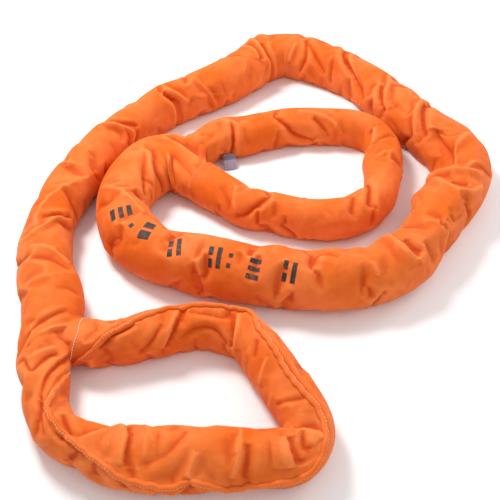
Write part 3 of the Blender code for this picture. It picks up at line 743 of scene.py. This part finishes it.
def fabric(name, colour, deep, light, roughness=0.62):
    """Woven polyester: fine threads, faint slubs, painted shade in the folds' hollows and a painted
    highlight on their ridges.
    """
    n = Nodes(name, colour, roughness, Sheen_Weight=0.06, Sheen_Roughness=0.4,
              Sheen_Tint=(1.0, 0.72, 0.52, 1.0), Specular_IOR_Level=0.12)
    uv = n.add("ShaderNodeUVMap", settings={"uv_map": "weave"})
    place = n.add("ShaderNodeTexCoord", output=3)
    painted_fold_shading = n.add("ShaderNodeAttribute", output=2, settings={"attribute_name": "painted_fold_shading"})
    split = n.tree.nodes.new("ShaderNodeSeparateXYZ")
    n.set(split, "Vector", uv)
    turns = 2 * math.pi / WEAVE_PITCH
    warp = n.math("SINE", n.math("MULTIPLY", split.outputs[0], turns))
    weft = n.math("SINE", n.math("MULTIPLY", split.outputs[1], turns))
    weave = n.math("MULTIPLY", warp, weft)
    slub = n.add("ShaderNodeMapping", Vector=uv, Scale=(60.0, 900.0, 1.0))
    thread = n.noise(slub, 1.0, 3.0)
    cross = n.noise(n.add("ShaderNodeMapping", Vector=uv, Scale=(900.0, 60.0, 1.0)), 1.0, 3.0)
    patches = n.noise(place, 7.0, 3.0)
    blotch = n.noise(place, 38.0, 4.0)
    tone = n.mix(n.span(patches, 0.38, 0.68, 0.0, 0.75), colour, light)
    tone = n.mix(n.span(blotch, 0.35, 0.75, 0.0, 0.30), tone, deep)
    tone = n.mix(n.span(thread, 0.35, 0.7, 0.0, 0.16), tone, light)
    tone = n.mix(n.span(cross, 0.35, 0.7, 0.0, 0.14), tone, deep)
    tone = n.mix(n.span(weave, -1.0, 1.0, 0.0, 0.10), tone, deep)
    # Painted shade in fold hollows, then a painted highlight on fold ridges
    tone = n.mix(n.span(painted_fold_shading, 0.10, 0.95, 0.0, 0.85), tone, deep)
    tone = n.mix(n.span(painted_fold_shading, -0.15, -0.9, 0.0, 0.75), tone, light)
    n.set(n.shader, "Base Color", tone)
    n.set(n.shader, "Roughness", n.span(blotch, 0.2, 0.8, roughness - 0.08, roughness + 0.10))
    height = n.math("ADD", n.math("MULTIPLY", weave, 0.5),
                    n.math("ADD", n.math("MULTIPLY", thread, 1.6), n.math("MULTIPLY", cross, 1.6)))
    n.bump(height, 0.35, 0.0006)
    return n.material


def yarn(name, colour):
    """Loose twisted polyester yarn."""
    n = Nodes(name, colour, 0.75, Sheen_Weight=0.3)
    uv = n.add("ShaderNodeUVMap", settings={"uv_map": "weave"})
    strands = n.noise(n.add("ShaderNodeMapping", Vector=uv, Scale=(30.0, 700.0, 1.0)), 1.0, 4.0)
    n.set(n.shader, "Base Color", n.mix(strands, tuple(0.7 * c for c in colour), colour))
    n.bump(strands, 0.6, 0.002)
    return n.material


def thread_material(name, colour):
    """Sewing thread."""
    n = Nodes(name, colour, 0.5, Sheen_Weight=0.3)
    place = n.add("ShaderNodeTexCoord", output=3)
    fibres = n.noise(place, 900.0, 2.0)
    n.set(n.shader, "Base Color", n.mix(fibres, tuple(0.75 * c for c in colour), colour))
    n.bump(fibres, 0.4, 0.0004)
    return n.material


def stencil_paint(name):
    """Worn black stencil paint that lets the cloth show through in places."""
    n = Nodes(name, (0.02, 0.016, 0.014), 0.7)
    place = n.add("ShaderNodeTexCoord", output=3)
    fine = n.noise(place, 260.0, 4.0)
    broad = n.noise(place, 60.0, 2.0)
    worn = n.span(n.math("ADD", fine, n.math("MULTIPLY", broad, 0.6)), 0.84, 1.02, 0.0, 0.75)
    n.set(n.shader, "Base Color", n.mix(worn, (0.018, 0.014, 0.012), (0.42, 0.075, 0.014)))
    n.bump(fine, 0.3, 0.0005)
    return n.material


def label_cloth(name):
    """A grey-lilac woven tag with a dark upper band and faint plain lines across it."""
    n = Nodes(name, (0.33, 0.27, 0.36), 0.6, Sheen_Weight=0.3)
    uv = n.add("ShaderNodeUVMap", settings={"uv_map": "weave"})
    split = n.tree.nodes.new("ShaderNodeSeparateXYZ")
    n.set(split, "Vector", uv)
    down, across = split.outputs[1], split.outputs[0]
    rows = n.math("SINE", n.math("MULTIPLY", down, 2 * math.pi / 0.0062))
    gaps = n.noise(n.add("ShaderNodeMapping", Vector=uv, Scale=(260.0, 160.0, 1.0)), 1.0, 1.0)
    lines = n.math("MULTIPLY", n.span(rows, 0.35, 0.6, 0.0, 1.0), n.span(gaps, 0.40, 0.5, 0.0, 1.0))
    margin = n.span(n.math("ABSOLUTE", across), 0.0150, 0.0155, 1.0, 0.0)
    lines = n.math("MULTIPLY", lines, margin)
    band = n.span(down, 0.0200, 0.0205, 1.0, 0.0)
    tone = n.mix(n.math("MULTIPLY", band, 0.75), (0.36, 0.30, 0.40), (0.10, 0.07, 0.11))
    tone = n.mix(n.math("MULTIPLY", lines, 0.55), tone, (0.10, 0.07, 0.11))
    n.set(n.shader, "Base Color", tone)
    weave = n.math("MULTIPLY", n.math("SINE", n.math("MULTIPLY", across, 9000.0)),
                   n.math("SINE", n.math("MULTIPLY", down, 9000.0)))
    n.bump(weave, 0.3, 0.0003)
    return n.material


# ---------------------------------------------------------------- build

long_points = MIDDLE_ROUTE[:0:-1] + OUTER_EYE_ROUTE[-2::-1] + OUTER_TUCK
long_route = Route(long_points, LONG_GIRTH, MOUTH_LEAD)
inner_route = Route(INNER_EYE_ROUTE[::-1] + INNER_TUCK_UPPER, INNER_GIRTH, INNER_TUCK_LOWER)
long_tube = Tube(long_route, RING_STEP, LONG_SIDES)
inner_tube = Tube(inner_route, RING_STEP, EYE_SIDES)
SEAM_LINE = tuple(value for spot in SEAM for value in spot)
LONG_FOLDS.append(("ridge", 4, 12, SEAM_LINE))
LONG_FOLDS.append(("valley", 4, 7, tuple(
    value + (9.0 if k % 2 else 0.0) for k, value in enumerate(SEAM_LINE))))
sculpt(long_tube, LONG_FOLDS, LONG_SWELLS, 150, 11, quiet=((0.42, 1.0),))
sculpt(inner_tube, INNER_FOLDS, [], 46, 5)
tucked = inner_tube.along > UPPER_TUCK_START
inner_tube.points[tucked, :, 2] = np.maximum(inner_tube.points[tucked, :, 2], TUCK_CLEARANCE)

# DEEP is also the painted shade in fold hollows, LIGHT also the painted highlight on fold ridges
ORANGE = (0.74, 0.128, 0.006)
DEEP = (0.52, 0.050, 0.003)
LIGHT = (0.90, 0.235, 0.060)
middle_cloth = fabric("orange_middle_sleeve", ORANGE, DEEP, LIGHT)
eye_cloth = fabric("orange_eye_sleeve", ORANGE, DEEP, LIGHT)
leg_cloth = fabric("orange_leg_sleeve", (0.72, 0.12, 0.018), DEEP, ORANGE)
core_yarn = yarn("white_core_yarn", (0.80, 0.78, 0.72))
pale_thread = thread_material("pale_thread", (0.92, 0.52, 0.34))
orange_thread = thread_material("orange_thread", (0.86, 0.22, 0.05))
white_thread = thread_material("white_thread", (0.88, 0.80, 0.80))
paint = stencil_paint("stencil_paint")
tag_cloth = label_cloth("woven_label")

# Folds between bodies: the parent, the child, a point on the fold, its direction and the zone's length
OUTER_FOLD = ("outer_band", "outer_eye", (-0.56426, -0.37723), (0.31765, -0.94821), 0.12)
COIL_FOLD = ("outer_band", "inner_band", (0.471, -0.1673), (-1.0, 0.0), 0.20)
INNER_FOLD = ("inner_band", "inner_eye", (-0.30986, 0.2156), (0.95714, 0.28963), 0.12)


def bend(piece):
    """Bakes a piece's transform into its mesh."""
    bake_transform(piece)


def reach_past(tube, fold):
    """How far each ring's nearest and farthest point lies past the fold's plane."""
    _, _, place, direction, _ = fold
    past = (tube.points[..., :2] - np.array(place)) @ np.array(direction)
    return past.min(axis=1), past.max(axis=1)


def clear_ring(tube, fold, near, step, past_end):
    """The first ring from a distance along that lies wholly off the fold's zone."""
    low, high = reach_past(tube, fold)
    k = ring_at(tube, near)
    while not (low[k] >= fold[4] if past_end else high[k] <= 0.0):
        k += step
    return k


def ring_at(tube, s):
    """The ring nearest to a distance along."""
    return int(np.argmin(np.abs(tube.along - s)))


NECK_SEAM = 4.43  # where the middle sleeve ends and the outer eye's sleeve starts
HEM = 0.072  # where the inner eye's sleeve starts
HEM_STITCHES = 0.084

inner_neck_end = clear_ring(long_tube, INNER_FOLD, 0.08, 1, False)
coil_child_end = clear_ring(long_tube, COIL_FOLD, 1.25, -1, True)
coil_parent_end = clear_ring(long_tube, COIL_FOLD, 1.32, 1, False)
outer_neck_start = clear_ring(long_tube, OUTER_FOLD, 4.20, -1, False)
neck_seam = ring_at(long_tube, NECK_SEAM)

STRETCHES = [
    ("inner_neck", 0, inner_neck_end, INNER_FOLD),
    ("inner_band", inner_neck_end, coil_child_end, "inner_band"),
    ("coil_turn", coil_child_end, coil_parent_end, COIL_FOLD),
    ("outer_band", coil_parent_end, outer_neck_start, "outer_band"),
    ("outer_neck", outer_neck_start, neck_seam, OUTER_FOLD),
]


def place_piece(piece, how):
    """Puts a piece on a body by its name, or, for a piece across a fold, bakes its transform."""
    if isinstance(how, str):
        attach(piece, how)
    else:
        bend(piece)


REPLACED = {"inner_neck": ["middle_sleeve_inner_end"], "inner_band": ["middle_sleeve_inner"],
            "outer_band": ["middle_sleeve_outer"], "outer_neck": ["middle_sleeve_outer_end"]}
for name, first, last, how in STRETCHES:
    piece = tube_mesh("middle_sleeve_" + name, long_tube, middle_cloth, first, last,
                      web=name == "inner_neck")
    place_piece(piece, how)
    if name in REPLACED:
        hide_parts(*REPLACED[name])

outer_eye = tube_mesh("eye_sleeve_outer", long_tube, eye_cloth, neck_seam)
place_piece(outer_eye, OUTER_FOLD)
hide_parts("eye_sleeve_outer_left", "eye_sleeve_outer_right")

inner_eye = tube_mesh("eye_sleeve_inner", inner_tube, eye_cloth,
                      ring_at(inner_tube, HEM), hem=True)
place_piece(inner_eye, INNER_FOLD)
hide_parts("eye_sleeve_inner_back", "eye_sleeve_inner_bend", "eye_sleeve_inner_front")

# What lies inside: a sleeve round each strand and the core yarn
INSIDE_STEP = 0.015
LEG_SCALE = (0.76, 0.64)
CORE_SCALE = (0.64, 0.56)
for side_name, side in (("left", 1.0), ("right", -1.0)):
    for kind, scale, cloth, slot in (("leg_sleeve", LEG_SCALE, leg_cloth, "leg_sleeve"),
                                     ("core_yarn", CORE_SCALE, core_yarn, "core_yarn")):
        strand = Tube(long_route, INSIDE_STEP, 20, side, *scale, lift=0.016)
        for name, first, last, how in STRETCHES:
            start, end = [ring_at(strand, long_tube.along[k]) for k in (first, last)]
            piece = tube_mesh("%s_%s_%s" % (kind, name, side_name), strand, cloth, start, end)
            place_piece(piece, how)
            if name in ("inner_band", "outer_band"):
                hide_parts("%s_%s_%s" % (kind, name.split("_")[0], side_name))
for name, route, fold, start, end in (("outer", long_route, OUTER_FOLD, NECK_SEAM, 6.0),
                                      ("inner", inner_route, INNER_FOLD, 0.10, 1.58)):
    hank = Tube(route, INSIDE_STEP, 20, 0.0, 0.72, 0.68, lift=0.013)
    piece = tube_mesh("core_hank_%s_eye" % name, hank, core_yarn,
                      ring_at(hank, start), ring_at(hank, end))
    place_piece(piece, fold)
    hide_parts("core_yarn_%s_eye" % name)

# The raised seam and the rows of stitches
SEAM_SECTION = [(-8.5, -2.5), (-6.8, 2.8), (-4.6, 6.0), (-1.0, 7.6), (1.6, 6.0), (3.6, 6.8),
                (6.2, 4.2), (7.0, -2.5)]
points, sides, ups = line_on(long_tube, SEAM, wave=0.9)
seam = strip_mesh("eye_seam_outer", points, sides, ups, SEAM_SECTION, eye_cloth)
place_piece(seam, OUTER_FOLD)
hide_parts("eye_seam")
stitches = stitch_mesh("eye_seam_stitches", [(points + ups * 0.0063 + sides * 0.0017, sides, ups)],
                       pale_thread, pitch=0.0085, radius=0.0007)
place_piece(stitches, OUTER_FOLD)
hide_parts("eye_seam_thread")
rows = [line_on(long_tube, NECK_STITCH_STRAND, lift=0.0008),
        line_on(long_tube, NECK_STITCH_SIDE, lift=0.0008)]
stitches = stitch_mesh("neck_stitches_outer", rows, white_thread)
place_piece(stitches, OUTER_FOLD)
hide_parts("neck_thread_outer")
rows = [line_on(inner_tube, [(HEM_STITCHES, angle) for angle in (205, 140, 90, 30, -30)],
                lift=0.0006)]
stitches = stitch_mesh("neck_stitches_inner", rows, orange_thread, radius=0.0007)
place_piece(stitches, INNER_FOLD)
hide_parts("neck_thread_inner")

# Stencil marks: plain bars and dots with bridges, as (left, low, right, high) in millimetres
BLOCK = [(-11, -19, 11, -3), (-11, 3, 11, 19)]
TWIN = [(-13, -19, -4, 19), (4, -19, 13, -3), (4, 3, 13, 19)]
STACK = [(-12, -19, 12, -10), (-12, -4, 12, 4), (-12, 10, 12, 19)]
DOT = [(-4, -4, 4, 4)]
MARK_SCALE = 1.35
MARKS = [
    (0.432, 106, 12, STACK), (0.492, 108, 6, DOT), (0.535, 98, -14, BLOCK),
    (0.628, 108, -20, TWIN), (0.742, 114, -6, TWIN), (0.782, 104, 0, DOT), (0.782, 124, 0, DOT),
    (0.848, 121, 6, STACK), (0.940, 121, 4, TWIN),
]


def stencil_mesh(name, tube, marks, material):
    """Thin painted patches that follow the sleeve's surface."""
    verts, faces = [], []
    for s, angle, tilt, rects in marks:
        c, d = math.cos(math.radians(tilt)), math.sin(math.radians(tilt))
        for left, low, right, high in rects:
            xs = np.linspace(left, right, max(2, round((right - left) / 3) + 1))
            ys = np.linspace(low, high, max(2, round((high - low) / 3) + 1))
            x, y = np.meshgrid(xs, ys, indexing="ij")
            u = s - 0.001 * MARK_SCALE * (c * x - d * y)
            v = angle - 0.001 * MARK_SCALE * (d * x + c * y) / math.radians(tube.radius)
            base = len(verts)
            spots, _ = tube.spot(u, v, np.full(u.shape, 0.0005))
            verts += spots.reshape(-1, 3).tolist()
            columns = len(ys)
            for i in range(len(xs) - 1):
                for j in range(columns - 1):
                    a = base + i * columns + j
                    faces.append((a, a + 1, a + columns + 1, a + columns))
    return smooth_piece(name, verts, faces, material)


stencil = stencil_mesh("stencil_marks", long_tube, MARKS, paint)
place_piece(stencil, "inner_band")

# The label: a woven tag sewn by its upper edge, its lower edge near the floor
LABEL_WIDTH = 0.042
LABEL_LENGTH = 0.052
LABEL_EDGE = Vector((-0.103 + CENTRE[0], 0.278 + CENTRE[1], 0.040))
LABEL_TURN = Matrix.Rotation(math.radians(12), 4, "Z") @ Matrix.Rotation(math.radians(47), 4, "X")


def label_spot(x, y, lift=0.0):
    """A point of the tag: x across, y down from its sewn edge, with a soft curl."""
    t = y / LABEL_LENGTH
    curl = 0.0035 * math.sin(math.pi * t) + 0.0015 * math.cos(x / LABEL_WIDTH * 5) * t
    spot = LABEL_EDGE + LABEL_TURN @ Vector((x, -y * 0.985, curl + lift))
    spot.z = max(spot.z, 0.0006)
    return spot


def make_label():
    """The tag and its row of stitches."""
    columns, rows_down = 14, 18
    xs = np.linspace(-LABEL_WIDTH / 2, LABEL_WIDTH / 2, columns + 1)
    ys = np.linspace(0.0, LABEL_LENGTH, rows_down + 1)
    verts = [tuple(label_spot(x, y)) for y in ys for x in xs]
    faces = [(r * (columns + 1) + c, (r + 1) * (columns + 1) + c,
              (r + 1) * (columns + 1) + c + 1, r * (columns + 1) + c + 1)
             for r in range(rows_down) for c in range(columns)]
    mesh = bpy.data.meshes.new("label_tag")
    mesh.from_pydata(verts, [], faces)
    layer = mesh.uv_layers.new(name="weave")
    flat = [(x, y) for y in ys for x in xs]
    for loop in mesh.loops:
        layer.data[loop.index].uv = flat[loop.vertex_index]
    mesh.shade_smooth()
    mesh.materials.append(tag_cloth)
    tag = link(bpy.data.objects.new("label_tag", mesh))
    wall = tag.modifiers.new("wall", "SOLIDIFY")
    wall.thickness = 0.0009
    wall.offset = 0.0
    place_piece(tag, "label")
    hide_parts("label")
    run = np.arange(-0.018, 0.0181, 0.003)
    points = np.array([label_spot(x, 0.004, 0.0012) for x in run])
    ahead = np.gradient(points, axis=0)
    ups = np.tile(np.array(LABEL_TURN @ Vector((0, 0, 1)))[None], (len(points), 1))
    sides = np.cross(ups, ahead)
    sides /= np.linalg.norm(sides, axis=1, keepdims=True)
    row = stitch_mesh("label_stitches", [(points, sides, ups)], white_thread,
                      pitch=0.004, length=0.003, radius=0.0005)
    place_piece(row, "label")
    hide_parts("label_thread")


make_label()


# ---------------------------------------------------------------- stage


def make_stage():
    """A plain pale floor, soft studio light and the camera."""
    floor_mesh = bpy.data.meshes.new("floor")
    size = 40.0
    floor_mesh.from_pydata([(-size, -size, -0.001), (size, -size, -0.001), (size, size, -0.001),
                            (-size, size, -0.001)], [], [(0, 1, 2, 3)])
    floor = link(bpy.data.objects.new("floor", floor_mesh))
    floor_mesh.materials.append(Nodes("floor_white", (0.9, 0.9, 0.9), 0.9).material)
    world = bpy.data.worlds.new("studio")
    bpy.context.scene.world = world
    world.use_nodes = True
    world.node_tree.nodes["Background"].inputs["Color"].default_value = (1.0, 1.0, 1.0, 1.0)
    world.node_tree.nodes["Background"].inputs["Strength"].default_value = 0.72
    for name, place, size, power in (("key", (-1.3, 1.1, 2.6), 0.9, 88.0),
                                     ("rim", (2.6, 1.5, 1.5), 1.2, 26.0),
                                     ("fill", (2.0, -1.5, 2.2), 2.4, 10.0)):
        light = bpy.data.lights.new(name, "AREA")
        light.shape = "SQUARE"
        light.size = size
        light.energy = power
        lamp = link(bpy.data.objects.new(name, light))
        lamp.location = place
        lamp.rotation_mode = "QUATERNION"
        lamp.rotation_quaternion = (-Vector(place)).to_track_quat("-Z", "Y")
    camera = bpy.data.cameras.new("camera")
    camera.lens = 56.9
    camera.sensor_width = 36.0
    eye = link(bpy.data.objects.new("camera", camera))
    eye.location = (-0.0320, -1.7681, 1.65)
    eye.rotation_euler = (math.radians(45), 0.0, 0.0)
    bpy.context.scene.camera = eye
    bpy.context.scene.view_settings.view_transform = "Standard"


make_stage()
bpy.context.view_layer.update()
